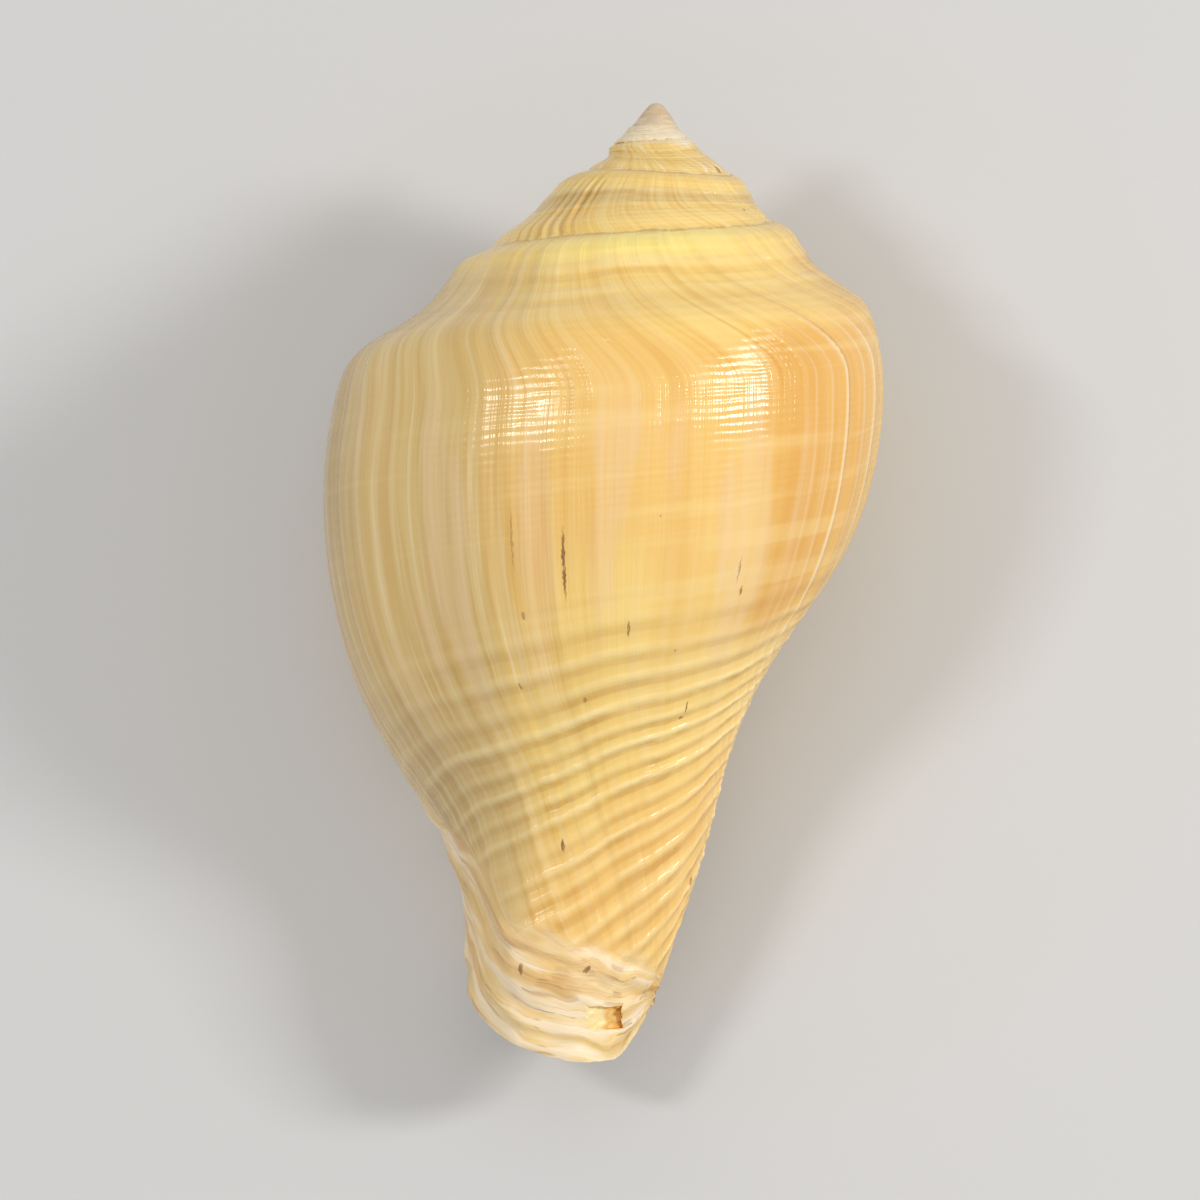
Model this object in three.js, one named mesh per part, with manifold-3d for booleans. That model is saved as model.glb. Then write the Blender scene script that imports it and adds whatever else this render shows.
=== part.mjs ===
// A pear melongena: a right-handed, pear-shaped sea snail shell, one grown piece, lying on its mouth side.
// Millimetres and degrees. +Z is up, the apex points towards +Y, and the surface that it lies on is Z = 0.
//
// The shell is one spiral. A whorl's outline is given once, as radius from the coiling axis against depth
// below the apex. The whole outline grows by WHORL_GROWTH for every turn about the axis, so the body whorl,
// the spire, the cords on the base and the hollow inside all follow from the same curve.
import * as THREE from "three";
import { mergeVertices } from "three/addons/utils/BufferGeometryUtils.js";
import Module from "manifold-3d";

// The spiral. Angles run about the coiling axis the way the shell grew, seen with the apex away from the
// viewer: 0 is its right side, 90 its back, 180 its left side and 270 its mouth side.
const WHORL_GROWTH = 1.85;
const OUTLINE_ANGLE = 180;
const LIP_ANGLE = 216;
const WHORLS_IN_SPIRE = 5;

// The whorl's outline at OUTLINE_ANGLE, from its suture down: [depth below the apex, radius].
const SUTURE_DEPTH = 10.36;
const WHORL_OUTLINE = [
  [SUTURE_DEPTH, 10.9],
  [11.0, 12.2],
  [12.2, 13.4],
  [13.6, 14.4],
  [15.1, 15.9],
  [16.3, 17.8],
  [17.4, 19.4],
  [18.8, 20.4],
  [21.5, 21.15],
  [26.0, 21.6],
  [31.0, 21.3],
  [36.5, 20.1],
  [41.5, 18.0],
  [46.0, 15.0],
  [50.5, 12.1],
  [55.0, 10.0],
  [60.0, 8.4],
  [66.0, 7.0],
  [72.0, 5.2],
  [78.0, 3.0],
  [84.0, 2.35],
  [92.0, 2.15],
  [104.0, 2.1],
  [130.0, 2.1],
  [200.0, 2.0],
];
// Near its suture the whorl's edge runs ahead, so growth lines there sweep forward.
const SUTURE_SWEEP = 14;
const SWEEP_ENDS_DEPTH = 23;

// The spiral cords of the base: low rounded ridges.
const FIRST_CORD_DEPTH = 44.6;
const CORD_PITCH = 3.1;
const CORD_COUNT = 10;
const CORD_HEIGHT = 0.2;

// Where the shell ends round the siphonal canal: [angle, depth below the apex].
const CANAL_END = [
  [-145, 58.4],
  [-60, 59.2],
  [0, 60.6],
  [45, 61.8],
  [70, 63.6],
  [90, 64.8],
  [115, 65.1],
  [132, 64.4],
  [144, 63.6],
  [158, 62.3],
  [172, 60.9],
  [190, 59.4],
  [218, 57.8],
];
// The canal's wall stands out sideways where it runs into the lip.
const CANAL_FLARE = 3.0;
const CANAL_FLARE_ANGLES = [90, 150];
const CANAL_FLARE_DEPTHS = [48.5, 65];
const CANAL_POLE_DEPTH = 60.5;

// The early whorls grew leaning a little to the right.
const LEAN_SHIFT = 1.0;
const LEAN_SLOPE = 0.12;
const LEAN_DEPTHS = [2.5, 4.5, 5.2, 8];

// The wall and the hollow, at OUTLINE_ANGLE. The wall thickens towards the columella.
const WALL = 1.25;
const COLUMELLA_WALL = 2.0;
const COLUMELLA_WALL_DEPTHS = [62, 81];
const CALLUS = 0.35;
const HOLLOW_TOP_DEPTH = 12.1;
const HOLLOW_CLOSES_DEPTH = 81;
const HOLLOW_RUNS_PAST_END = 68;
const HOLLOW_RUNS_PAST_LIP = 8;
const HOLLOW_TURN = 285;
const LEAST_HOLLOW = 0.05;

// How it lies: rolled about the coiling axis, then raised at the apex, and worn flat where it touches.
const ROLL = 9.6;
const PITCH = 12.25;
const WORN_AWAY = 0.25;
const SURFACE_SIZE = 200;
const SURFACE_THICKNESS = 10;

// Facets.
const COLUMNS_PER_TURN = 48;
const RAMP_ROWS = 5;
const SIDE_ROWS = 9;
const TAIL_DEPTHS = [78, 83, 89, 96, 104];
const HOLLOW_ROWS = 16;

const { degToRad, lerp, smoothstep } = THREE.MathUtils;
const growth = (angle) => WHORL_GROWTH ** ((angle - OUTLINE_ANGLE) / 360);
const rise = (x, [low, high]) => smoothstep(x, low, high);

// A natural cubic spline through [x, y] points, as a function of x.
function splineThrough(points) {
  const count = points.length;
  const pivot = new Array(count).fill(0);
  const curvature = new Array(count).fill(0);
  for (let i = 1; i < count - 1; i++) {
    const [[x0, y0], [x1, y1], [x2, y2]] = points.slice(i - 1, i + 2);
    const share = (x1 - x0) / (x2 - x0);
    const scale = share * pivot[i - 1] + 2;
    const bend = (y2 - y1) / (x2 - x1) - (y1 - y0) / (x1 - x0);
    pivot[i] = (share - 1) / scale;
    curvature[i] = ((6 * bend) / (x2 - x0) - share * curvature[i - 1]) / scale;
  }
  for (let i = count - 2; i >= 0; i--) curvature[i] += pivot[i] * curvature[i + 1];
  return (x) => {
    let i = 0;
    while (i < count - 2 && points[i + 1][0] < x) i++;
    const [[x0, y0], [x1, y1]] = points.slice(i, i + 2);
    const width = x1 - x0;
    const left = (x1 - x) / width;
    const right = (x - x0) / width;
    const bend = (left ** 3 - left) * curvature[i] + (right ** 3 - right) * curvature[i + 1];
    return left * y0 + right * y1 + (bend * width ** 2) / 6;
  };
}
const outlineRadius = splineThrough(WHORL_OUTLINE);
const canalEndDepth = splineThrough(CANAL_END);

// One turn further out on the same ray from the apex, the next whorl's suture covers the outline.
const NEXT_SUTURE_DEPTH = SUTURE_DEPTH * WHORL_GROWTH;
const LAST_CORD_DEPTH = FIRST_CORD_DEPTH + (CORD_COUNT - 1) * CORD_PITCH;

function canalFlare(angle, depth) {
  return CANAL_FLARE * rise(angle, CANAL_FLARE_ANGLES) * rise(depth, CANAL_FLARE_DEPTHS);
}

function cordRelief(depth) {
  const start = rise(depth, [FIRST_CORD_DEPTH - CORD_PITCH, FIRST_CORD_DEPTH + CORD_PITCH]);
  const end = 1 - rise(depth, [LAST_CORD_DEPTH, LAST_CORD_DEPTH + CORD_PITCH]);
  const turns = (depth - FIRST_CORD_DEPTH) / CORD_PITCH;
  return (CORD_HEIGHT / 2) * start * end * Math.cos(2 * Math.PI * turns);
}

// The point at a column's angle, a depth on the outline and a radius there, grown to its real size.
function place(columnAngle, depth, radiusAt) {
  const angle = columnAngle + SUTURE_SWEEP * (1 - rise(depth, [SUTURE_DEPTH, SWEEP_ENDS_DEPTH]));
  const radius = radiusAt(angle, depth) * growth(angle);
  const below = depth * growth(angle);
  const [leanStarts, leanFull, leanFades, leanEnds] = LEAN_DEPTHS;
  const lean = rise(below, [leanStarts, leanFull]) * (1 - rise(below, [leanFades, leanEnds]));
  const across = radius * Math.cos(degToRad(angle));
  const back = radius * Math.sin(degToRad(angle));
  return new THREE.Vector3(across + LEAN_SHIFT * lean, -below - LEAN_SLOPE * lean * across, back);
}

const outsideRadius = (angle, depth) => outlineRadius(depth) + canalFlare(angle, depth) + cordRelief(depth);
const outsidePoint = (angle, depth) => place(angle, depth, outsideRadius);

// Collects triangles and gives them as one closed geometry. Triangles with no width are left out.
class Facets {
  corners = [];

  triangle(a, b, c) {
    const sides = [a.distanceTo(b), b.distanceTo(c), c.distanceTo(a)];
    if (Math.min(...sides) > 1e-6) this.corners.push(a, b, c);
  }

  // Joins two edges that run side by side, step by step in proportion to their numbers of points.
  ribbon(one, two) {
    let i = 0;
    let j = 0;
    while (i < one.length - 1 || j < two.length - 1) {
      const oneIsBehind = (i + 1) * (two.length - 1) <= (j + 1) * (one.length - 1);
      if (i < one.length - 1 && (oneIsBehind || j === two.length - 1)) {
        this.triangle(one[i], one[i + 1], two[j]);
        i++;
      } else {
        this.triangle(one[i], two[j + 1], two[j]);
        j++;
      }
    }
  }

  fan(pole, edge) {
    for (let i = 0; i < edge.length - 1; i++) this.triangle(edge[i], edge[i + 1], pole);
  }

  geometry() {
    return mergeVertices(new THREE.BufferGeometry().setFromPoints(this.corners), 1e-5);
  }
}

// The depths of a column's points: down the ramp from the suture, then down the side, the base and the canal.
const rampDepths = [];
for (let row = 0; row <= RAMP_ROWS; row++) {
  rampDepths.push(lerp(SUTURE_DEPTH, NEXT_SUTURE_DEPTH, (row / RAMP_ROWS) ** 1.3));
}
const sideDepths = [];
for (let row = 1; row <= SIDE_ROWS; row++) {
  sideDepths.push(lerp(NEXT_SUTURE_DEPTH, FIRST_CORD_DEPTH - CORD_PITCH / 2, row / SIDE_ROWS));
}
for (let cord = 0; cord < CORD_COUNT; cord++) {
  const ridge = FIRST_CORD_DEPTH + cord * CORD_PITCH;
  sideDepths.push(ridge, ridge + CORD_PITCH / 2);
}
sideDepths.push(...TAIL_DEPTHS);

// The whole outside as one closed solid: the spire's ramps, the body whorl, the mouth and the canal's end.
function outsideGeometry() {
  const facets = new Facets();
  const firstAngle = LIP_ANGLE - 360 * (WHORLS_IN_SPIRE + 1);
  const last = COLUMNS_PER_TURN * (WHORLS_IN_SPIRE + 1);
  const bodyStarts = COLUMNS_PER_TURN * WHORLS_IN_SPIRE;
  const angleOf = (column) => firstAngle + (360 * column) / COLUMNS_PER_TURN;

  // A ramp ends on the suture of the whorl after it. Only the lip has no whorl after it.
  const ramp = (column) => {
    const points = rampDepths.map((depth) => outsidePoint(angleOf(column), depth));
    if (column < last) points[RAMP_ROWS] = outsidePoint(angleOf(column + COLUMNS_PER_TURN), SUTURE_DEPTH);
    return points;
  };
  const side = (column) => {
    const angle = angleOf(column);
    const endDepth = canalEndDepth(angle) / growth(angle);
    const rows = sideDepths.map((depth) => outsidePoint(angle, Math.min(depth, endDepth)));
    rows[rows.length - 1] = outsidePoint(angle, endDepth);
    return [ramp(column)[RAMP_ROWS], ...rows];
  };

  for (let column = 0; column < last; column++) facets.ribbon(ramp(column + 1), ramp(column));
  for (let column = bodyStarts; column < last; column++) facets.ribbon(side(column + 1), side(column));

  const apex = new THREE.Vector3(0, 0, 0);
  const topEdge = [];
  for (let column = 0; column <= COLUMNS_PER_TURN; column++) topEdge.unshift(ramp(column)[0]);
  facets.fan(apex, topEdge);
  facets.fan(apex, ramp(0));

  const canalPole = new THREE.Vector3(0, -CANAL_POLE_DEPTH, 0);
  const canalEdge = [];
  for (let column = bodyStarts; column <= last; column++) canalEdge.push(side(column).at(-1));
  facets.fan(canalPole, canalEdge);

  const outerLip = [...ramp(last), ...side(last).slice(1), canalPole];
  const innerLip = [...side(bodyStarts), canalPole];
  facets.ribbon(innerLip, outerLip);
  return facets.geometry();
}

// The hollow: from past the lip back into the shell, between the outer wall and the whorl before it.
function hollowGeometry() {
  const facets = new Facets();
  const whorlBefore = (depth) => outlineRadius(depth * WHORL_GROWTH) / WHORL_GROWTH + CALLUS;
  const innerSide = (angle, depth) => whorlBefore(depth);
  const outerSide = (angle, depth) => {
    const wall = lerp(WALL, COLUMELLA_WALL, rise(depth, COLUMELLA_WALL_DEPTHS));
    const inside = outlineRadius(depth) + canalFlare(angle, depth) - wall;
    return Math.max(inside, whorlBefore(depth) + LEAST_HOLLOW);
  };
  const sides = (angle) => {
    const deepest = Math.min(HOLLOW_CLOSES_DEPTH, HOLLOW_RUNS_PAST_END / growth(angle));
    const depths = [];
    for (let row = 0; row <= HOLLOW_ROWS; row++) {
      depths.push(lerp(HOLLOW_TOP_DEPTH, deepest, row / HOLLOW_ROWS));
    }
    const outer = depths.map((depth) => place(angle, depth, outerSide));
    const inner = depths.map((depth) => place(angle, depth, innerSide));
    return { outer, inner };
  };
  const ring = (angle) => {
    const { outer, inner } = sides(angle);
    return [...outer, ...inner.reverse(), outer[0]];
  };

  const turn = HOLLOW_TURN + HOLLOW_RUNS_PAST_LIP;
  const columns = Math.round((COLUMNS_PER_TURN * turn) / 360);
  const angleOf = (column) => LIP_ANGLE + HOLLOW_RUNS_PAST_LIP - (turn * column) / columns;
  for (let column = 0; column < columns; column++) {
    facets.ribbon(ring(angleOf(column)), ring(angleOf(column + 1)));
  }
  const mouth = sides(angleOf(0));
  const back = sides(angleOf(columns));
  facets.ribbon(mouth.inner, mouth.outer);
  facets.ribbon(back.outer, back.inner);
  return facets.geometry();
}

const wasm = await Module();
wasm.setup();

function solidOf(geometry) {
  const vertProperties = new Float32Array(geometry.attributes.position.array);
  const triVerts = new Uint32Array(geometry.index.array);
  return new wasm.Manifold(new wasm.Mesh({ numProp: 3, vertProperties, triVerts }));
}

function geometryOf(solid) {
  const { vertProperties, triVerts } = solid.getMesh();
  return new THREE.BufferGeometry()
    .setAttribute("position", new THREE.BufferAttribute(vertProperties, 3))
    .setIndex(new THREE.BufferAttribute(triVerts, 1));
}

// Lays the shell down, centred on the origin, and wears it flat on the surface.
function laidDown(geometry) {
  geometry.rotateY(degToRad(ROLL)).rotateX(degToRad(PITCH)).computeBoundingBox();
  const { min, max } = geometry.boundingBox;
  geometry.translate(-(min.x + max.x) / 2, -(min.y + max.y) / 2, -min.z - WORN_AWAY);
  const surface = new THREE.BoxGeometry(SURFACE_SIZE, SURFACE_SIZE, SURFACE_THICKNESS);
  surface.translate(0, 0, -SURFACE_THICKNESS / 2);
  surface.deleteAttribute("normal").deleteAttribute("uv");
  return geometryOf(solidOf(geometry).subtract(solidOf(mergeVertices(surface))));
}

const outside = solidOf(outsideGeometry());
const hollow = solidOf(hollowGeometry());
const grown = geometryOf(outside.subtract(hollow));

const shell = new THREE.Mesh(
  laidDown(grown),
  new THREE.MeshStandardMaterial({ color: 0xd9b574, roughness: 0.35, metalness: 0 }),
);
shell.name = "shell";

const group = new THREE.Group();
group.add(shell);
export default group;
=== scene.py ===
# A pear melongena: one right-handed, pear-shaped sea snail shell, lying on its mouth side on a pale table.
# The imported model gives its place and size. This script grows the same spiral again in fine detail.
import math

import bpy
import numpy as np
from mathutils import Matrix, Vector


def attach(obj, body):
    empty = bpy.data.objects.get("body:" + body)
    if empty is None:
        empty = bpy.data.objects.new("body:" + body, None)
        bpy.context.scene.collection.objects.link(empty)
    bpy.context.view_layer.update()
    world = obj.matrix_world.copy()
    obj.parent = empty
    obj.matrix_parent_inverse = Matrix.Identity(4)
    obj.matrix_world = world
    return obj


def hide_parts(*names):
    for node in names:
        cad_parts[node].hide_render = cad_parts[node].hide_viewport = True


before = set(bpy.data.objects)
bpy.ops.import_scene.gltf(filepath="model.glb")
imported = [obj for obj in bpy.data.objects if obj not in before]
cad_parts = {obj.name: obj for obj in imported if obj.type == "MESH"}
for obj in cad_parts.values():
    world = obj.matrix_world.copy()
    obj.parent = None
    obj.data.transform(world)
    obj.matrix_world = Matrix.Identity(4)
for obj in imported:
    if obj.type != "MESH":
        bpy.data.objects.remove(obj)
bpy.ops.object.select_all(action="DESELECT")
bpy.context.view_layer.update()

# Where the shell lies
# The shell lies rolled about its coiling axis and raised at the apex, by these degrees. Its own frame has
# the apex at the origin, +Y towards the apex, +X to its right and +Z out of its back.
ROLL = 9.6
PITCH = 12.25
MM = 0.001

lying = Matrix.Rotation(math.radians(PITCH), 3, "X") @ Matrix.Rotation(math.radians(ROLL), 3, "Y")
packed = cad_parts["shell"].data
packed_points = np.empty(len(packed.vertices) * 3)
packed.vertices.foreach_get("co", packed_points)
packed_points = packed_points.reshape(-1, 3)
apex = packed_points[np.argmax(packed_points @ np.array(lying @ Vector((0, 1, 0))))]


def grown(points_mm):
    """Points of the shell's own frame, in millimetres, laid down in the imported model's frame, in metres."""
    return points_mm * MM @ np.array(lying).T + apex


# The camera
# It looks straight down the shell's back with a long lens. The photograph is 1200 pixels square, and the
# shell's 65 mm axis covers 958 of them, leaning 2 degrees to the right.
PHOTO_SIZE = 1200
SHELL_LENGTH = 65.0
SHELL_PIXELS = 958
APEX_PIXEL = (656, 103)
AXIS_LEAN = math.radians(2)
CAMERA_DISTANCE = 0.9
SENSOR_MM = 36

mm_per_pixel = SHELL_LENGTH / SHELL_PIXELS
photo_right = Vector((math.cos(AXIS_LEAN), math.sin(AXIS_LEAN), 0))
photo_up = Vector((-math.sin(AXIS_LEAN), math.cos(AXIS_LEAN), 0))
photo_middle = PHOTO_SIZE / 2
aim = photo_right * (photo_middle - APEX_PIXEL[0]) + photo_up * (APEX_PIXEL[1] - photo_middle)
camera_data = bpy.data.cameras.new("camera")
camera_data.sensor_width = SENSOR_MM
camera_data.lens = SENSOR_MM * CAMERA_DISTANCE / (PHOTO_SIZE * mm_per_pixel * MM)
camera = bpy.data.objects.new("camera", camera_data)
bpy.context.collection.objects.link(camera)
sight = lying @ Vector((0, 0, 1))
turned = Matrix((lying @ photo_right, lying @ photo_up, sight)).transposed()
aimed_at = Vector(grown(np.array(aim * mm_per_pixel)))
camera.matrix_world = Matrix.Translation(aimed_at + sight * CAMERA_DISTANCE) @ turned.to_4x4()
bpy.context.scene.camera = camera
bpy.context.scene.view_settings.view_transform = "Standard"

# The shell
# One piece of shell, grown turn by turn round one axis: every whorl repeats the outline below, 1.85 times
# larger each turn. The outline gives a radius for each depth under the apex, in millimetres, at 180
# degrees. The canal's end is given by angle and depth. Part of the spire has grown askew and leans to the
# right.
WHORL_GROWTH = 1.85
OUTLINE_ANGLE = 180
LIP_ANGLE = 216
SPIRE_WHORLS = 4
SUTURE_DEPTH = 10.36
WHORL_OUTLINE = np.array([
    (SUTURE_DEPTH, 10.9), (11.0, 12.2), (12.2, 13.4), (13.6, 14.4), (15.1, 15.9), (16.3, 17.8),
    (17.4, 19.4), (18.8, 20.4), (21.5, 21.15), (26.0, 21.6), (31.0, 21.3), (36.5, 20.1), (41.5, 18.0),
    (46.0, 15.0), (50.5, 12.1), (55.0, 10.0), (60.0, 8.4), (66.0, 7.0), (72.0, 5.2), (78.0, 3.0),
    (84.0, 2.35), (92.0, 2.15), (104.0, 2.1), (130.0, 2.1), (200.0, 2.0),
])
SUTURE_SWEEP = 14
SWEEP_ENDS_DEPTH = 23
CANAL_END = np.array([
    (-145, 58.4), (-60, 59.2), (0, 60.2), (45, 61.0), (70, 62.5), (90, 64.4), (115, 65.1), (132, 64.7),
    (144, 64.0), (158, 62.7), (172, 60.9), (190, 59.4), (218, 57.8),
])
CANAL_FLARE = 3.0
CANAL_FLARE_ANGLES = (90, 150)
CANAL_FLARE_DEPTHS = (48.5, 65)
CANAL_POLE_DEPTH = 60.5
LEAN_SHIFT = 1.0
LEAN_SLOPE = 0.12
LEAN_DEPTHS = (2.5, 4.5, 5.2, 8)
NEXT_SUTURE_DEPTH = SUTURE_DEPTH * WHORL_GROWTH


def spline_through(points):
    """A natural cubic spline through (x, y) points, as a function of x."""
    x, y = points.T
    width = np.diff(x)
    slope = np.diff(y) / width
    rows = np.eye(len(x))
    change = np.zeros(len(x))
    for i in range(1, len(x) - 1):
        rows[i, i - 1:i + 2] = width[i - 1], 2 * (width[i - 1] + width[i]), width[i]
        change[i] = 6 * (slope[i] - slope[i - 1])
    bend = np.linalg.solve(rows, change)

    def value(at):
        i = np.clip(np.searchsorted(x, at) - 1, 0, len(x) - 2)
        left = (x[i + 1] - at) / width[i]
        right = (at - x[i]) / width[i]
        curve = (left**3 - left) * bend[i] + (right**3 - right) * bend[i + 1]
        return left * y[i] + right * y[i + 1] + curve * width[i] ** 2 / 6

    return value


def rise(x, low, high):
    """0 below low, 1 above high, and smooth between."""
    t = np.clip((x - low) / (high - low), 0, 1)
    return t * t * (3 - 2 * t)


def wander(x, seed):
    """Smooth noise from -1 to 1 along x, with a new value at every whole number."""
    values = np.random.default_rng(seed).uniform(-1, 1, 4096)
    low = np.floor(x)
    i = low.astype(int) % len(values)
    following = (i + 1) % len(values)
    return values[i] + (values[following] - values[i]) * rise(x - low, 0, 1)


def mottle(x, y, seed):
    """Smooth noise from -1 to 1 over x and y."""
    values = np.random.default_rng(seed).uniform(-1, 1, (256, 256))
    low_x, low_y = np.floor(x), np.floor(y)
    i = low_x.astype(int) % len(values)
    j = low_y.astype(int) % len(values)
    next_i = (i + 1) % len(values)
    next_j = (j + 1) % len(values)
    s = rise(x - low_x, 0, 1)
    t = rise(y - low_y, 0, 1)
    near = values[i, j] * (1 - s) + values[next_i, j] * s
    far = values[i, next_j] * (1 - s) + values[next_i, next_j] * s
    return near * (1 - t) + far * t


outline_radius = spline_through(WHORL_OUTLINE)
canal_end_depth = spline_through(CANAL_END)


def growth(angle):
    return WHORL_GROWTH ** ((angle - OUTLINE_ANGLE) / 360)


def swept(column, depth):
    """The true angle of a column at a depth: near the suture the whorl's edge runs ahead."""
    return column + SUTURE_SWEEP * (1 - rise(depth, SUTURE_DEPTH, SWEEP_ENDS_DEPTH))


def canal_flare(angle, depth):
    return CANAL_FLARE * rise(angle, *CANAL_FLARE_ANGLES) * rise(depth, *CANAL_FLARE_DEPTHS)


# Growth lines
# Each is an old edge of the lip. It runs ahead on the right of the ramp, leans back over the base, and
# turns round the canal's end, where the newest lines lie close together as rough lamellae. These begin at
# a depth that changes with the angle, and climb up the left flank.
SWEPT_AHEAD = 26
AHEAD_UNTIL = (70, 150)
AHEAD_FROM = (230, 330)
LEANS_BACK = ((0, 45, 55, 65, 75, 200), (0, 0, 6, 20, 30, 60))
LAMELLA_DEPTH = 56.2
LAMELLA_ANGLE = 162
LAMELLA_SLOPE = 0.155
LAMELLA_CLIMB = 4.7
CLIMB_ANGLES = (138, 170)


def lamella_start(angle):
    sloped = LAMELLA_DEPTH + (LAMELLA_ANGLE - angle) * LAMELLA_SLOPE
    return sloped - LAMELLA_CLIMB * rise(angle, *CLIMB_ANGLES)


def growth_line(column, depth):
    """The angle, at mid height, of the growth line that passes through a place."""
    angle = swept(column, depth)
    in_turn = np.mod(angle, 360)
    on_right = 1 - rise(in_turn, *AHEAD_UNTIL) + rise(in_turn, *AHEAD_FROM)
    ahead = SWEPT_AHEAD * on_right * (1 - rise(depth, SUTURE_DEPTH, SWEEP_ENDS_DEPTH))
    line = column - ahead + np.interp(depth, *LEANS_BACK)
    return line + (LIP_ANGLE - line) * newest(angle, depth)


# The relief of the outside
# Spiral cords, each with its depth and height, and a groove between each two. Growth ridges, and old lips
# with their line, height and width. Folds and small knobs on the spire, and rough lamellae at the canal.
# Lengths are in millimetres at the outline's own size. A wave has its width, its height and the seed of
# its noise. A pair is where something begins, or ends, and where it is full, or gone.
CORDS = np.array([
    (10.4, 0), (12.9, 0.08), (14.9, 0.08), (17.0, 0), (38.0, 0), (40.6, 0.04), (43.3, 0.1),
    (45.3, 0.13), (47.4, 0.22), (49.1, 0.11), (50.6, 0.22), (52.1, 0.1), (53.7, 0.22), (55.5, 0.05),
    (57.3, 0.14), (58.9, 0.05), (60.6, 0.13), (63.3, 0.12), (65.2, 0.08), (67.4, 0.14), (69.2, 0.07),
    (71.0, 0.13), (73.6, 0.08),
])
FULL_CORD = 0.22
CORD_WAVES = ((19, 0.22, 11), (5, 0.05, 12))
CORDS_FROM_DEPTH = (38, 42)
CORDS_FADE_LEFT = (112, 158)
CORDS_FADE_RIGHT = (15, 48)
HIGH_CORD_ANGLES = (50, 85)
HIGH_CORD_DEPTHS = (50, 56)
GROWTH_RIDGES = ((3.1, 0.045, 1), (1.9, 0.035, 2))
RAMP_DEPTHS = (22, 14)
OLD_LIPS = (
    (37.5, 0.26, 0.9), (33.0, -0.13, 1.6), (9, 0.12, 1.0), (21, 0.13, 0.7), (28, 0.08, 0.8),
    (46, 0.06, 0.8), (-14, 0.14, 1.2), (-60, 0.16, 1.5),
)
FOLD_HEIGHT = 0.26
FOLD_SPACING = 6.3
FOLDS_FROM = (-238, -228)
FOLDS_UNTIL = (-212, -196)
FOLD_DEPTHS = (11, 13)
KNOB_HEIGHT = 0.6
KNOB_SPACING = 13
KNOB_SHIFT = 4
KNOBS_FROM = (-706, -698)
KNOBS_UNTIL = (-662, -652)
KNOB_ROW = (17.4, 1, 0.9)
LAMELLA_STEPS = 3.5
STEP_CREST = 0.65
STEP_HEIGHT = 0.34
MORE_STEP_HEIGHT = 0.3
MORE_STEP_ANGLES = (45, 90)
COLLAR = (11.4, 0.14, 0.6)
SETTLES_OVER = 0.5
THINNEST_LAMELLAE = 1
TOP_NARROWS = ((-1000, -520, -440), (1.2, 1.1, 0))
FOOT_NARROWS = ((-900, -720, -420, -300, -150, -60, 0), (2.2, 1.7, 1.7, 0.7, 0.6, 0.3, 0))
NARROWS_BETWEEN = (13.5, 17.5)


def lamellar(angle, depth):
    """How much of the rough layered shell round the canal's end is at a place."""
    edge = 0.9 * mottle(angle / 6, depth / 3, 21)
    return rise(depth - lamella_start(angle) + edge, -0.8, 1.2)


def ridge(x, at, height, width):
    return height * np.exp(-(((x - at) / width) ** 2))


def cord_count(angle, depth):
    """Where a place is among the cords: a whole number on each crest and a half in each groove."""
    for width, height, seed in CORD_WAVES:
        depth = depth + height * wander(angle / width, seed)
    return np.interp(depth, CORDS[:, 0], np.arange(len(CORDS)))


def cord_strength(angle, depth):
    """How high the cords stand at a place: they fade at both edges and are highest right of the middle."""
    height = np.interp(cord_count(angle, depth), np.arange(len(CORDS)), CORDS[:, 1])
    fade = 1 - 0.7 * rise(angle, *CORDS_FADE_LEFT)
    fade = fade * (1 + 0.3 * (1 - rise(angle, *HIGH_CORD_ANGLES)) * rise(depth, *HIGH_CORD_DEPTHS))
    fade = fade * (1 - 0.45 * (1 - rise(angle, *CORDS_FADE_RIGHT)) * rise(depth, *CORDS_FROM_DEPTH))
    uneven = 1 + 0.5 * mottle(angle / 13, depth / 2.5, 13)
    return height * fade * uneven * (1 - 0.9 * lamellar(angle, depth))


def cord_height(angle, depth):
    crest = (0.5 + 0.5 * np.cos(2 * np.pi * cord_count(angle, depth))) ** 1.5
    return cord_strength(angle, depth) * (1.5 * crest - 0.5)


def knobs(angle, depth):
    """Small pale knobs along the foot of the third whorl, from 0 to 1."""
    row = rise(angle, *KNOBS_FROM) * (1 - rise(angle, *KNOBS_UNTIL)) * ridge(depth, *KNOB_ROW)
    return row * np.maximum(np.cos((angle + KNOB_SHIFT) * 2 * np.pi / KNOB_SPACING), 0)


def newest(angle, depth):
    """How far out among the lamellae a place is: 0 where they begin, 1 at the canal's end."""
    start = lamella_start(angle)
    end = canal_end_depth(angle) / growth(angle)
    return np.clip((depth - start) / np.maximum(end - start, THINNEST_LAMELLAE), 0, 1)


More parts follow.
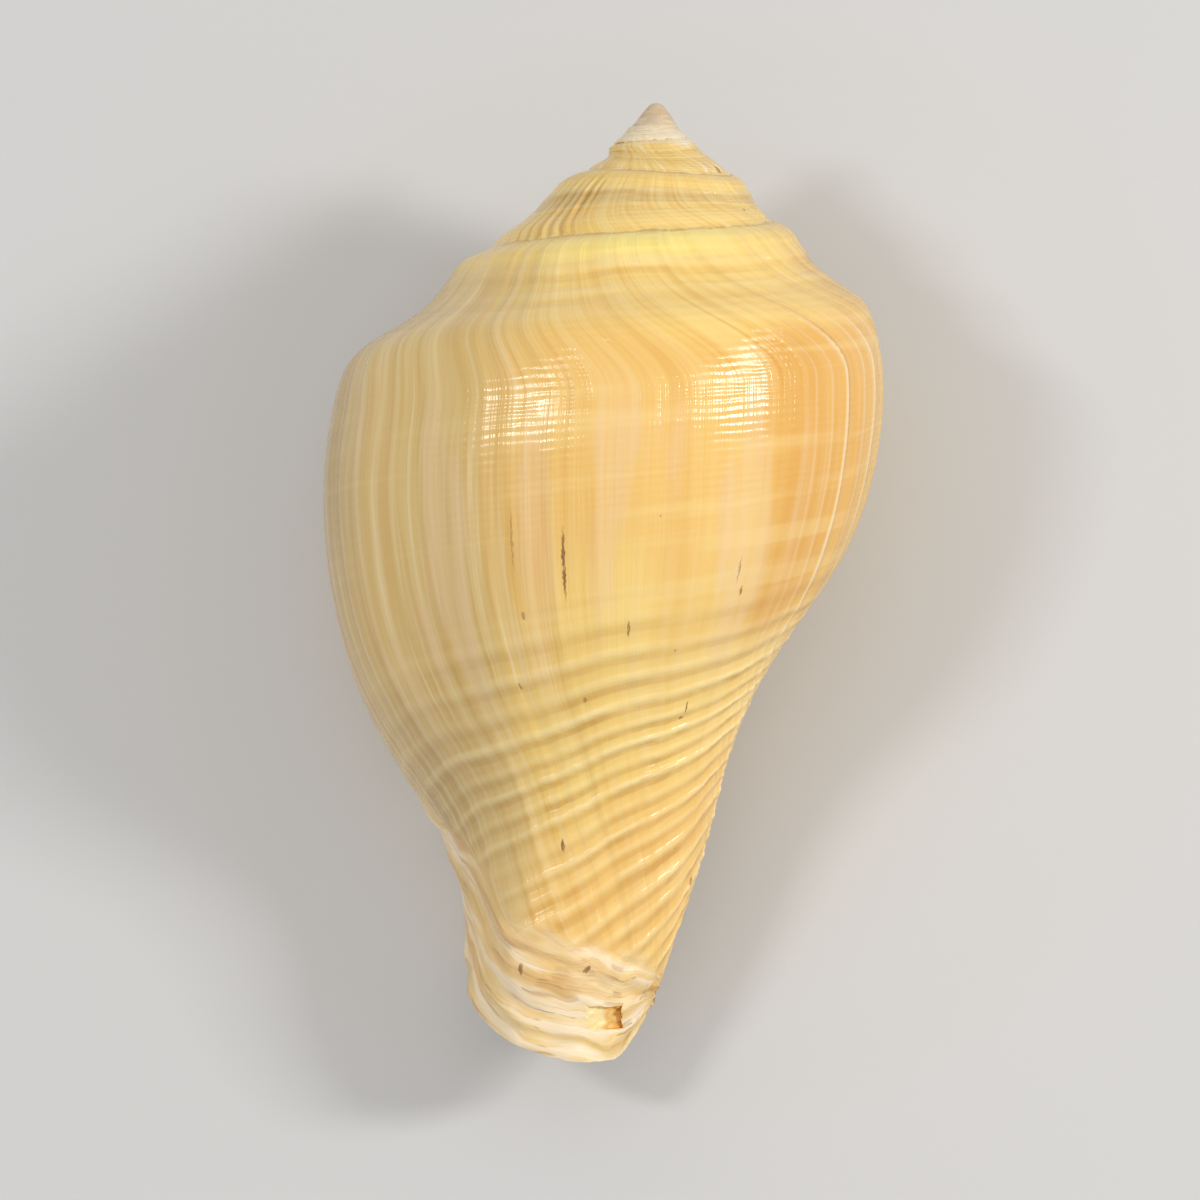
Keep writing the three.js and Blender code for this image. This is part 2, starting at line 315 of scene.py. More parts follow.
def relief(column, angle, depth):
    """What stands out from the whorl's plain outline, in millimetres at the outline's own size."""
    line = growth_line(column, depth)
    rough = lamellar(angle, depth)
    ridges = sum(height * wander(line / width, seed) for width, height, seed in GROWTH_RIDGES)
    ridges = ridges * (1 + 0.8 * rise(depth, *RAMP_DEPTHS)) * (1 - rough)
    ridges = ridges + 0.08 * mottle(angle / 17, depth / 6, 3)
    lips = sum(ridge(line, *lip) for lip in OLD_LIPS) * (1 - rough)
    folds = rise(angle, *FOLDS_FROM) * (1 - rise(angle, *FOLDS_UNTIL)) * rise(depth, *FOLD_DEPTHS)
    folds = folds * FOLD_HEIGHT * np.cos(line * 2 * np.pi / FOLD_SPACING)
    raised = KNOB_HEIGHT * knobs(angle, depth)
    out = newest(angle, depth)
    step = np.mod(out * LAMELLA_STEPS + 0.5 * mottle(angle / 17, out * 3, 4), 1)
    step = np.minimum(step / STEP_CREST, (1 - step) / (1 - STEP_CREST))
    step_height = STEP_HEIGHT + MORE_STEP_HEIGHT * (1 - rise(angle, *MORE_STEP_ANGLES))
    lamellae = rough * (step_height * (step - 0.5) + 0.14 * mottle(angle / 9, out * 6, 6))
    collar = ridge(depth, *COLLAR)
    settled = rise(depth, SUTURE_DEPTH, SUTURE_DEPTH + SETTLES_OVER)
    return settled * (ridges + lips + folds + raised + lamellae + collar + cord_height(angle, depth))


def narrowed_radius(angle, depth):
    """The whorl's plain outline. The first whorls are a little narrower than those that grew later."""
    top = np.interp(angle, *TOP_NARROWS)
    foot = np.interp(angle, *FOOT_NARROWS)
    return outline_radius(depth) - top - (foot - top) * rise(depth, *NARROWS_BETWEEN)


def outside_radius(column, angle, depth):
    return narrowed_radius(angle, depth) + canal_flare(angle, depth) + relief(column, angle, depth)


def placed(column, depth, radius_at):
    """Points of the shell's own frame, in millimetres, at a column and depth of the outline."""
    angle = swept(column, depth)
    radius = radius_at(column, angle, depth) * growth(angle)
    below = depth * growth(angle)
    lean = rise(below, *LEAN_DEPTHS[:2]) * (1 - rise(below, *LEAN_DEPTHS[2:]))
    across = radius * np.cos(np.radians(angle))
    back = radius * np.sin(np.radians(angle))
    return np.stack([across + LEAN_SHIFT * lean, -below - LEAN_SLOPE * lean * across, back], -1)


def sheet(name, columns, rows, place, material_index=0):
    """A grid primitive moved onto the shell. Its three UV maps hold each corner's growth line and depth,
    its true angle and depth, and where it is among the cords and among the lamellae."""
    bpy.ops.mesh.primitive_grid_add(x_subdivisions=columns, y_subdivisions=rows, size=2)
    made = bpy.context.object
    made.name = name
    flat = np.empty(len(made.data.vertices) * 3)
    made.data.vertices.foreach_get("co", flat)
    share = (flat.reshape(-1, 3)[:, :2].T + 1) / 2
    column, row = np.rint(share * [[columns], [rows]])
    points, column_angle, depth = place(column, row)
    made.data.vertices.foreach_set("co", grown(points).ravel())
    corners = np.empty(len(made.data.loops), dtype=np.int64)
    made.data.loops.foreach_get("vertex_index", corners)
    lines = np.stack([growth_line(column_angle, depth), depth], -1)
    places = np.stack([swept(column_angle, depth), depth], -1)
    made.data.uv_layers.active.name = "growth"
    made.data.uv_layers["growth"].uv.foreach_set("vector", lines[corners].ravel())
    made.data.uv_layers.new(name="place").uv.foreach_set("vector", places[corners].ravel())
    angle = places[:, 0]
    counts = np.stack([cord_count(angle, depth), newest(angle, depth)], -1)
    made.data.uv_layers.new(name="counts").uv.foreach_set("vector", counts[corners].ravel())
    made.data.polygons.foreach_set("material_index", [material_index] * len(made.data.polygons))
    return made


MERGE_WITHIN = 1e-6


def closed(parts):
    """Joins sheets along the edges that they share and fills what is left open."""
    bpy.ops.object.select_all(action="DESELECT")
    for part in parts:
        part.select_set(True)
    bpy.context.view_layer.objects.active = parts[0]
    if len(parts) > 1:
        bpy.ops.object.join()
    bpy.ops.object.mode_set(mode="EDIT")
    bpy.ops.mesh.select_all(action="SELECT")
    bpy.ops.mesh.remove_doubles(threshold=MERGE_WITHIN)
    bpy.ops.mesh.fill_holes(sides=0)
    bpy.ops.mesh.select_all(action="SELECT")
    bpy.ops.mesh.normals_make_consistent(inside=False)
    bpy.ops.object.mode_set(mode="OBJECT")
    return parts[0]


# The spire and the body whorl
# The ramp of each whorl ends on the suture of the next. The body whorl goes on from its ramp down its
# side, over the base and the canal, and in to the coiling axis at the canal's end. Where the mouth began,
# a glaze of callus lies on it. Rows lie closer together at the suture and along the canal.
TURN_COLUMNS = 360
HIDDEN_COLUMNS = 11
RAMP_ROWS = 20
RAMP_CROWDS = 1.25
SIDE_ROWS = 122
SIDE_CROWDS = 0.3
END_ROWS = 4
CALLUS = 0.35
CALLUS_FADES = (3, 26)
RAGGED = 0.22
RAGGED_UNTIL = (118, 140)
LIP_ROUNDING = 0.2
LIP_JOINS_OVER = 30
SUTURE_WAVE = 0.12

first_angle = LIP_ANGLE - 360 * (SPIRE_WHORLS + 1)
spire_columns = TURN_COLUMNS * SPIRE_WHORLS + HIDDEN_COLUMNS
body_columns = TURN_COLUMNS - HIDDEN_COLUMNS
body_angle = LIP_ANGLE - body_columns


def radius_at_suture(column, angle, depth):
    return narrowed_radius(angle, depth)


def suture_depth(angle):
    return SUTURE_DEPTH + SUTURE_WAVE * (wander(angle / 7, 14) + 0.4 * wander(angle / 2.7, 15))


def spire_sheet(column, row):
    angle = first_angle + column
    start = suture_depth(angle)
    depth = start + (NEXT_SUTURE_DEPTH - start) * (row / RAMP_ROWS) ** RAMP_CROWDS
    on_next = row == RAMP_ROWS
    own = placed(angle, depth, outside_radius)
    next_suture = placed(angle + body_columns, suture_depth(angle + body_columns), radius_at_suture)
    return np.where(on_next[:, None], next_suture, own), angle, depth


def body_sheet(column, row):
    angle = body_angle + column
    ramp_share = np.clip(row / RAMP_ROWS, 0, 1) ** RAMP_CROWDS
    start = suture_depth(angle)
    side_share = np.clip((row - RAMP_ROWS) / SIDE_ROWS, 0, 1)
    chips = wander(angle / 9, 7) + 0.35 * wander(angle / 3.3, 8)
    ragged = RAGGED * (1 - rise(angle, *RAGGED_UNTIL)) * chips
    end = (canal_end_depth(angle) + ragged) / growth(angle)
    depth = start + (NEXT_SUTURE_DEPTH - start) * ramp_share
    depth = depth + (end - NEXT_SUTURE_DEPTH) * side_share * (1 + SIDE_CROWDS - SIDE_CROWDS * side_share)

    def radius(column_angle, true_angle, at_depth):
        glaze = (1 - rise(column, *CALLUS_FADES)) * rise(at_depth, NEXT_SUTURE_DEPTH, NEXT_SUTURE_DEPTH + 2)
        rounding = rise(column, body_columns - 2, body_columns) ** 2
        plain = outside_radius(column_angle, true_angle, at_depth)
        return plain + CALLUS * WHORL_GROWTH * glaze - LIP_ROUNDING * rounding

    points = placed(angle, depth, radius)
    next_suture = placed(angle + body_columns, suture_depth(angle + body_columns), radius_at_suture)
    joined = (row == RAMP_ROWS) * (1 - rise(column, 0, LIP_JOINS_OVER))
    points = points + (next_suture - points) * joined[:, None]
    inward = np.clip((row - RAMP_ROWS - SIDE_ROWS) / END_ROWS, 0, 1)[:, None]
    pole = np.array([0, -CANAL_POLE_DEPTH, 0])
    return points + (pole - points) * inward, angle, depth


def mouth_sheet(column, row):
    """From the whorl's old surface, where the mouth began, across to the edge of the lip."""
    inner = body_sheet(np.zeros_like(row), np.maximum(row, RAMP_ROWS))
    outer = body_sheet(np.full_like(row, body_columns), row)
    at_lip = column == 1
    points = np.where(at_lip[:, None], outer[0], inner[0])
    angle = np.where(at_lip, outer[1], inner[1])
    depth = np.where(at_lip, outer[2], inner[2])
    return points, angle, depth


body_rows = RAMP_ROWS + SIDE_ROWS + END_ROWS
shell = closed([
    sheet("shell_surface", spire_columns, RAMP_ROWS, spire_sheet),
    sheet("shell_body", body_columns, body_rows, body_sheet),
    sheet("shell_mouth", 1, body_rows, mouth_sheet, material_index=1),
])

# The hollow
# A tube between the outer wall and the glazed whorl before it, from past the lip back into the shell. The
# wall thickens towards the columella and thins to a bevelled edge at the lip.
WALL = 1.25
COLUMELLA_WALL = 2.0
COLUMELLA_WALL_DEPTHS = (62, 81)
LIP_THINNING = 0.6
LIP_THINS_OVER = 12
HOLLOW_TOP_DEPTH = 12.1
HOLLOW_CLOSES_DEPTH = 81
HOLLOW_RUNS_PAST_END = 68
HOLLOW_RUNS_PAST_LIP = 8
HOLLOW_TURN = 285
LEAST_HOLLOW = 0.05
HOLLOW_COLUMNS = 146
HOLLOW_ROWS = 60


def whorl_before(depth):
    return outline_radius(depth * WHORL_GROWTH) / WHORL_GROWTH + CALLUS


def hollow_sheet(column, row):
    turn = HOLLOW_TURN + HOLLOW_RUNS_PAST_LIP
    angle = LIP_ANGLE + HOLLOW_RUNS_PAST_LIP - turn * (1 - column / HOLLOW_COLUMNS)
    deepest = np.minimum(HOLLOW_CLOSES_DEPTH, HOLLOW_RUNS_PAST_END / growth(angle))
    row = np.mod(row, HOLLOW_ROWS)
    half = HOLLOW_ROWS / 2
    on_outer = row < half
    share = np.where(on_outer, row, HOLLOW_ROWS - 1 - row) / (half - 1)
    depth = HOLLOW_TOP_DEPTH + (deepest - HOLLOW_TOP_DEPTH) * share

    def radius(column_angle, true_angle, at_depth):
        wall = WALL + (COLUMELLA_WALL - WALL) * rise(at_depth, *COLUMELLA_WALL_DEPTHS)
        wall = wall * (1 - LIP_THINNING * rise(column_angle, LIP_ANGLE - LIP_THINS_OVER, LIP_ANGLE))
        outer = outline_radius(at_depth) + canal_flare(true_angle, at_depth) - wall
        inner = whorl_before(at_depth)
        return np.where(on_outer, np.maximum(outer, inner + LEAST_HOLLOW), inner)

    return placed(angle, depth, radius), angle, depth


hollow = closed([sheet("shell_hollow", HOLLOW_COLUMNS, HOLLOW_ROWS, hollow_sheet, material_index=1)])


def cut_away(cutter, operation="DIFFERENCE"):
    """Takes a closed cutter out of the shell, or joins it on."""
    bpy.ops.object.select_all(action="DESELECT")
    bpy.context.view_layer.objects.active = shell
    change = shell.modifiers.new(cutter.name, "BOOLEAN")
    change.operation = operation
    change.solver = "MANIFOLD"
    change.object = cutter
    bpy.ops.object.modifier_apply(modifier=change.name)
    bpy.data.objects.remove(cutter)


cut_away(hollow)

# The first whorl
# The oldest part of the shell, worn to a smooth rounded cone, which is turned here from depths and radii.
# Its foot is inside the next whorl.
TIP_COLUMNS = 48
TIP_SHIFT = 0.03
TIP_OUTLINE = np.array([
    (0, 0), (0.03, 0.2), (0.12, 0.4), (0.28, 0.58), (0.5, 0.76), (0.8, 0.99), (1.15, 1.24), (1.5, 1.46),
    (1.75, 1.2), (1.8, 0),
])


def tip_sheet(column, row):
    around = np.radians(column * (360 / TIP_COLUMNS))
    below, out = TIP_OUTLINE[row.astype(int)].T
    points = np.stack([out * np.cos(around) + TIP_SHIFT, -below, out * np.sin(around)], -1)
    return points, first_angle + column, below / growth(first_angle)


tip = closed([sheet("shell_tip", TIP_COLUMNS, len(TIP_OUTLINE) - 1, tip_sheet)])
cut_away(tip, "UNION")

# The broken window
# Near the canal's end a flake of the outer layer has broken off, and the orange layer under it shows. It
# is cut out with a block, whose corners are given as angle and depth, and whose sides are chipped.
WINDOW_CORNERS = ((113.0, 68.65), (92.2, 71.1), (114.0, 70.3), (91.2, 73.0))
WINDOW_DEPTH = 0.5
WINDOW_CLEARS = 0.8
WINDOW_CUTS = 7
CHIP = 0.05
CHIP_SEED = 31
bpy.ops.mesh.primitive_cube_add(size=2)
window = bpy.context.object
window.name = "shell_window"
for vertex in window.data.vertices:
    right, low, out = (int(value > 0) for value in vertex.co)
    angle, depth = WINDOW_CORNERS[right + 2 * low]
    away = WINDOW_CLEARS if out else -WINDOW_DEPTH

    def window_radius(column_angle, true_angle, at_depth):
        return outline_radius(at_depth) + canal_flare(true_angle, at_depth) + away

    vertex.co = grown(placed(np.array([angle]), np.array([depth]), window_radius))[0]
bpy.ops.object.mode_set(mode="EDIT")
bpy.ops.mesh.select_all(action="SELECT")
bpy.ops.mesh.subdivide(number_cuts=WINDOW_CUTS)
bpy.ops.mesh.quads_convert_to_tris()
bpy.ops.mesh.normals_make_consistent(inside=False)
bpy.ops.object.mode_set(mode="OBJECT")
chips = np.random.default_rng(CHIP_SEED).normal(0, CHIP * MM, (len(window.data.vertices), 3))
for vertex, chip in zip(window.data.vertices, chips):
    vertex.co += Vector(chip)
window_middle = np.mean([vertex.co for vertex in window.data.vertices], 0)
window.data.polygons.foreach_set("material_index", [2] * len(window.data.polygons))
cut_away(window)

# The worn foot
# Where the shell touches the surface that it lies on, under the body whorl and along the lip, it is worn
# flat: a block with its top in that surface cuts it.
FOOT_BLOCK = 0.2
bpy.ops.mesh.primitive_cube_add(size=FOOT_BLOCK, location=(0, 0, -FOOT_BLOCK / 2))
foot = bpy.context.object
foot.name = "shell_foot"
cut_away(foot)

# The colours of the outside
# Grown into the outer layer and darkened or bleached by the sea. A few shades, on a screen from 0 to 255,
# make it up: gold and amber in the middle, cream above and below, and grey on the left flank, which with
# the dusky zone there is partly painted shade of the side turned from the brighter lamp. Each zone of the
# body whorl has its angle and depth, how far it reaches in both, and its shade. The spire has bands by
# depth.
BRIGHT = (253, 233, 140)
CREAM = (244, 210, 126)
GOLD = (238, 194, 112)
AMBER = (226, 172, 86)
SAND = (222, 191, 124)
# Grey and dusky are partly painted shade of the left flank.
GREY_WITH_SHADE = (200, 174, 120)
DUSKY_WITH_SHADE = (184, 157, 104)
BLEACHED = (249, 231, 198)
BODY_ZONES = (
    (90, 11.2, 40, 0.9, BRIGHT), (145, 11.2, 25, 0.9, CREAM), (40, 11.5, 25, 0.9, CREAM),
    (75, 15, 42, 2.2, CREAM), (155, 16, 22, 3, SAND), (172, 28, 10, 10, GREY_WITH_SHADE), (140, 28, 16, 9, SAND),
    (106, 27, 12, 8, GOLD), (78, 33, 8, 7, GOLD), (52, 32, 9, 9, AMBER), (66, 36, 6, 5, CREAM),
    (18, 28, 14, 9, AMBER), (98, 41, 14, 4, CREAM), (150, 40, 16, 6, SAND), (160, 49, 12, 6, DUSKY_WITH_SHADE),
    (65, 51, 24, 5, CREAM), (106, 50, 16, 5, CREAM), (150, 54, 12, 6, SAND), (80, 62, 40, 7, GOLD),
    (160, 60, 12, 6, SAND), (110, 72, 30, 4, CREAM), (-60, 30, 60, 18, GOLD), (-60, 60, 60, 10, GOLD),
    (200, 35, 15, 15, SAND),
)
FAR_AWAY = 1e-7
SPIRE_BANDS = ((10.9, CREAM), (12.6, CREAM), (13.1, SAND), (14.6, SAND), (15.3, CREAM), (19.1, CREAM))
SPIRE_ENDS = (-20, 40)
BANDS_BEGIN = (-520, -430)
TIP_COLOUR = (224, 196, 158)
LAMELLA_COLOUR = (228, 198, 147)
BLEACHED_ENDS = (2.5, 3.1)
# Painted shade along the suture's groove: its colour and the depths where it ends.
SUTURE_SHADE_COLOUR = (196, 164, 112)
SUTURE_SHADE_DEPTHS = (10.3, 10.7)
# How much each channel takes of the cords' painted highlight on crests and painted shade in grooves.
CORD_LIGHT_AND_SHADE = (0.5, 0.65, 1.0)


def linear(colour):
    """A screen colour, 0 to 255, as the share of light that a surface gives back."""
    share = np.asarray(colour, dtype=float) / 255
    return np.where(share <= 0.04045, share / 12.92, ((share + 0.055) / 1.055) ** 2.4)


def mixed(one, two, share):
    return one + (two - one) * share[:, None]


def tint(angle, depth):
    """The shell's colour at an angle and depth, before its streaks, with painted shade in the suture and
    painted light and shade on the cords.
    """
    body = np.zeros((len(angle), 3))
    weight = np.zeros(len(angle))
    for at, low, wide, tall, colour in BODY_ZONES:
        near = np.exp(-(((angle - at) / wide) ** 2) - ((depth - low) / tall) ** 2) + FAR_AWAY
        body += near[:, None] * linear(colour)
        weight += near
    depths = [low for low, colour in SPIRE_BANDS]
    shades = np.array([linear(colour) for low, colour in SPIRE_BANDS])
    spire = np.stack([np.interp(depth, depths, shades[:, i]) for i in range(3)], -1)
    spire = mixed(linear(CREAM), spire, rise(angle, *BANDS_BEGIN))
    spire = mixed(spire, linear(BLEACHED), np.clip(1.6 * knobs(angle, depth), 0, 1))
    below = depth * growth(angle)
    tip = mixed(linear(TIP_COLOUR), linear(BLEACHED), rise(below, 0.7, 2.3))
    spire = mixed(tip, spire, rise(below + 0.3 * mottle(angle / 25, depth / 2, 17), *BLEACHED_ENDS))
    colour = mixed(spire, body / weight[:, None], rise(angle, *SPIRE_ENDS))
    # Painted highlight on the cords' crests and painted shade in their grooves.
    cords = np.clip(cord_height(angle, depth) * rise(depth, 20, 42), -0.2, 0.2)
    colour = colour * (1 + cords[:, None] * np.array(CORD_LIGHT_AND_SHADE))
    worn = lamellar(angle, depth) * (0.55 + 0.4 * mottle(angle / 9, newest(angle, depth) * 8, 9))
    colour = mixed(colour, linear(LAMELLA_COLOUR), np.clip(worn, 0, 1))
    # Painted shade in the suture's groove, left off on the bleached tip.
    unshaded = 1 - (1 - rise(depth, *SUTURE_SHADE_DEPTHS)) * rise(below, 2.0, 3.0)
    return mixed(linear(SUTURE_SHADE_COLOUR), colour, unshaded)


# Nodes
# Every finish is written as sums on sockets. A Value is one socket, and a Shader is one material.
class Value:
    """A shader socket that takes part in sums: each operation on it adds one Math node."""

    def __init__(self, shader, socket):
        self.shader = shader
        self.socket = socket

    def math(self, operation, *others):
        values = {i + 1: other for i, other in enumerate(others)}
        return self.shader.node("ShaderNodeMath", {"operation": operation}, {0: self, **values})

    def __add__(self, other):
        return self.math("ADD", other)

    def __sub__(self, other):
        return self.math("SUBTRACT", other)

    def __rsub__(self, other):
        return (self * -1).math("ADD", other)

    def __mul__(self, other):
        return self.math("MULTIPLY", other)

    __radd__ = __add__
    __rmul__ = __mul__

    def between(self, low, high, to_low=0.0, to_high=1.0):
        """This value, moved smoothly from one range to another and kept inside it."""
        settings = {"interpolation_type": "SMOOTHSTEP"}
        values = {"Value": self, "From Min": low, "From Max": high, "To Min": to_low, "To Max": to_high}
        return self.shader.node("ShaderNodeMapRange", settings, values, "Result")


class Shader:
    """A material made of nodes, with its Principled BSDF at the end."""

    def __init__(self, name):
        self.material = bpy.data.materials.new(name)
        self.material.use_nodes = True
        self.tree = self.material.node_tree
        self.surface = self.tree.nodes["Principled BSDF"]

    def set(self, target, name, value):
        if isinstance(value, Value):
            self.tree.links.new(value.socket, target.inputs[name])
        elif isinstance(value, tuple) and len(value) == 3 and target.inputs[name].type == "RGBA":
            target.inputs[name].default_value = (*value, 1)
        else:
            target.inputs[name].default_value = value

    def node(self, kind, settings, values, output=0):
        """One node: its settings come first, then the values or links of its inputs."""
        made = self.tree.nodes.new(kind)
        for name, value in settings.items():
            setattr(made, name, value)
        for name, value in values.items():
            self.set(made, name, value)
        return Value(self, made.outputs[output])

    def parts(self, vector):
        """The three numbers of a vector."""
        split = self.tree.nodes.new("ShaderNodeSeparateXYZ")
        self.set(split, 0, vector)
        return [Value(self, output) for output in split.outputs]

    def uv(self, name):
        across, up, _ = self.parts(self.node("ShaderNodeUVMap", {"uv_map": name}, {}))
        return across, up

    def point(self, x, y, z):
        return self.node("ShaderNodeCombineXYZ", {}, {0: x, 1: y, 2: z})

    def noise(self, x, y, detail=2.0, roughness=0.5, z=0.0):
        """Noise over x and y, about 0.5, with one swing in every unit or so."""
        values = {"Vector": self.point(x, y, z), "Scale": 1.0, "Detail": detail, "Roughness": roughness}
        return self.node("ShaderNodeTexNoise", {"noise_dimensions": "3D"}, values)

    def mix(self, share, one, two, blend="MIX"):
        """Two colours mixed. A Mix node has its colours at inputs 6 and 7 and its result at output 2."""
        settings = {"data_type": "RGBA", "blend_type": blend}
        return self.node("ShaderNodeMix", settings, {0: share, 6: one, 7: two}, 2)

    def bump(self, height, distance):
        return self.node("ShaderNodeBump", {}, {"Height": height, "Distance": distance, "Strength": 1.0})


# The outside's finish
# Glossy shell that the sea has dulled in places. Soft streaks of several widths run along the growth
# lines, bent a little by a waver, and faint bands run round the whorl. They are weakest in the middle of
# the body whorl, on the base and on the bleached tip, and stop where the lamellae begin.
BROAD_SHADE = (0.94, 0.86, 0.72)
STREAK_SHADE = (0.88, 0.78, 0.6)
NARROW_SHADE = (0.9, 0.8, 0.64)
FINE_SHADE = (0.8, 0.7, 0.56)
HAIR_SHADE = (0.82, 0.76, 0.68)
PALE_STREAK = (0.9, 0.72, 0.44)
PALE_LINE = (0.92, 0.76, 0.46)
PALE_HAIR = (0.92, 0.76, 0.48)
AMBER_BAND = (0.97, 0.76, 0.34)
WAVER = 1.2
outside = Shader("shell_outside")
line, low = outside.uv("growth")
angle, depth = outside.uv("place")
count, out = outside.uv("counts")
zone = outside.node("ShaderNodeAttribute", {"attribute_name": "tint"}, {}, "Color")
corded = outside.node("ShaderNodeAttribute", {"attribute_name": "tint"}, {}, "Alpha")
waver = outside.noise(line * 0.04, depth * 0.13) - 0.5
flow = line + waver * WAVER
broad = outside.noise(flow * 0.1, depth * 0.02, detail=1.0)
medium = outside.noise(flow * 0.3, depth * 0.035, detail=2.0, z=3.0)
narrow = outside.noise(flow * 0.62, depth * 0.05, detail=2.0, z=5.0)
fine = outside.noise(flow * 1.5, depth * 0.07, detail=2.0, z=7.0)
hair = outside.noise(flow * 4.5, depth * 0.15, detail=2.0, z=11.0)
bands = outside.noise(angle * 0.012, depth * 0.5, detail=2.0, z=5.0)
past_start = low + (angle - LAMELLA_ANGLE) * LAMELLA_SLOPE - LAMELLA_DEPTH
lamellae = (past_start + angle.between(*CLIMB_ANGLES) * LAMELLA_CLIMB).between(-0.71, 1.69)
left = angle.between(100, 130)
side = depth.between(20, 27) * depth.between(50, 42)
base = depth.between(42, 46)
collar = depth.between(11.5, 15.0)
spire_size = ((angle - OUTLINE_ANGLE) * (math.log(WHORL_GROWTH) / 360)).math("EXPONENT")
bleached = (depth * spire_size).between(3.3, 2.5)
lined = (1 - angle.between(112, 92) * depth.between(20, 26) * 0.72) * (1 - base * 0.45)
lined = lined * (collar * 0.75 + 0.25) * (1 - lamellae) * (1 - bleached * 0.8)
broad_streaks = broad.between(0.36, 0.64, 0.0, 0.4) * (1 - bleached)
tone = outside.mix(broad_streaks, zone, BROAD_SHADE, "MULTIPLY")
tone = outside.mix(medium.between(0.5, 0.36, 0.0, 0.5) * lined, tone, STREAK_SHADE, "MULTIPLY")
tone = outside.mix(narrow.between(0.5, 0.34, 0.0, 0.35) * lined, tone, NARROW_SHADE, "MULTIPLY")
pale_streaks = medium.between(0.5, 0.66) * (left * 0.12 + 0.12) * (1 - bleached)
tone = outside.mix(pale_streaks, tone, PALE_STREAK)
tone = outside.mix(narrow.between(0.56, 0.72) * (left * 0.22 + 0.14) * lined, tone, PALE_LINE)
tone = outside.mix(fine.between(0.56, 0.76, 0.0, 0.18) * lined, tone, PALE_HAIR)
tone = outside.mix(fine.between(0.46, 0.3, 0.0, 0.18) * lined, tone, FINE_SHADE, "MULTIPLY")
tone = outside.mix(hair.between(0.35, 0.65, 0.0, 0.1) * lined, tone, HAIR_SHADE, "MULTIPLY")
tone = outside.mix(bands.between(0.5, 0.66, 0.0, 0.24) * (1 - left * 0.6), tone, AMBER_BAND)

# Pinkish wear
# Tall patches on the side of the body whorl where the glossy surface is worn through to a pinkish layer.
# They end before the old lip at the right.
PINKISH_LAYER = (0.82, 0.56, 0.36)
patches = outside.noise(flow * 0.1, depth * 0.045, detail=2.0, z=9.0)
pinkish = patches.between(0.5, 0.6) * side * angle.between(44, 58) * (medium.between(0.3, 0.6) * 0.5 + 0.5)
tone = outside.mix(pinkish * 0.34, tone, PINKISH_LAYER)

# The third whorl and the folds
# The third whorl has slanting gold and whitish bands. The folds at the left of the second are raised
# pleats of the shell, with painted shade in the valleys between them.
THIRD_GOLD = (0.87, 0.58, 0.2)
THIRD_WHITE = (0.94, 0.78, 0.5)
FOLD_SHADE = (0.76, 0.6, 0.42)
slant = outside.noise(flow * 0.13, depth * 0.12, z=31.0)
third = angle.between(-430, -470) * (1 - bleached)
tone = outside.mix(slant.between(0.5, 0.6, 0.0, 0.5) * third, tone, THIRD_GOLD)
tone = outside.mix(slant.between(0.48, 0.36, 0.0, 0.45) * third, tone, THIRD_WHITE)
folded = angle.between(-242, -230) * angle.between(-194, -208) * depth.between(11.0, 13.0)
# Painted shade in the valleys between the folds.
valley = (line * (2 * math.pi / FOLD_SPACING)).math("COSINE").between(-0.1, -1.0)
tone = outside.mix(valley * folded * 0.6, tone, FOLD_SHADE, "MULTIPLY")

# Spiral cords
# Low ridges of thicker shell that run round the base. Each has a crisp painted highlight on its crest and a
# thin painted shade in the groove under it, broken up by wear, and shows as far as it stands out.
GROOVE_SHADE = (0.78, 0.66, 0.5)
CREST_HIGHLIGHT = (0.95, 0.8, 0.46)
GROOVE_TURN = 2.3
turns = count * (2 * math.pi)
crest = turns.math("COSINE").between(0.4, 1.0)
under_crest = (turns - GROOVE_TURN).math("COSINE").between(0.35, 1.0)
broken_up = outside.noise(angle * 0.1, depth * 0.4, detail=2.0, z=12.0).between(0.3, 0.6, 0.5, 1.0)
shown = corded * broken_up
# Painted shade under each crest and a painted highlight along it.
tone = outside.mix(under_crest * shown * 0.95, tone, GROOVE_SHADE, "MULTIPLY")
tone = outside.mix(crest * shown * 0.45, tone, CREST_HIGHLIGHT)

# Lamellae at the canal's end
# The newest edges of the lip, which lie over each other in thin worn layers, pinkish white, with a few thin
# brown creases where they end.
LAYER_WHITE = (0.93, 0.79, 0.6)
LAYER_SHADE = (0.86, 0.7, 0.54)
CREASE_BROWN = (0.56, 0.33, 0.15)
layer_warp = outside.noise(angle * 0.04, out * 3.0, detail=2.0, z=19.0) - 0.5
layers = out * 7.0 + layer_warp * 1.5
layer = outside.noise(layers * 0.9, angle * 0.012, detail=4.0, roughness=0.6, z=20.0)
crease = (outside.noise(layers * 0.9, angle * 0.008, detail=1.0, z=22.0) - 0.5).math("ABSOLUTE")
crease = crease.between(0.045, 0.006) * outside.noise(angle * 0.07, out * 3.0, z=23.0).between(0.48, 0.6)
tone = outside.mix(layer.between(0.45, 0.6, 0.0, 0.65) * lamellae, tone, LAYER_WHITE)
tone = outside.mix(layer.between(0.47, 0.36, 0.0, 0.5) * lamellae, tone, LAYER_SHADE, "MULTIPLY")
tone = outside.mix(crease * lamellae * 0.55, tone, CREASE_BROWN)

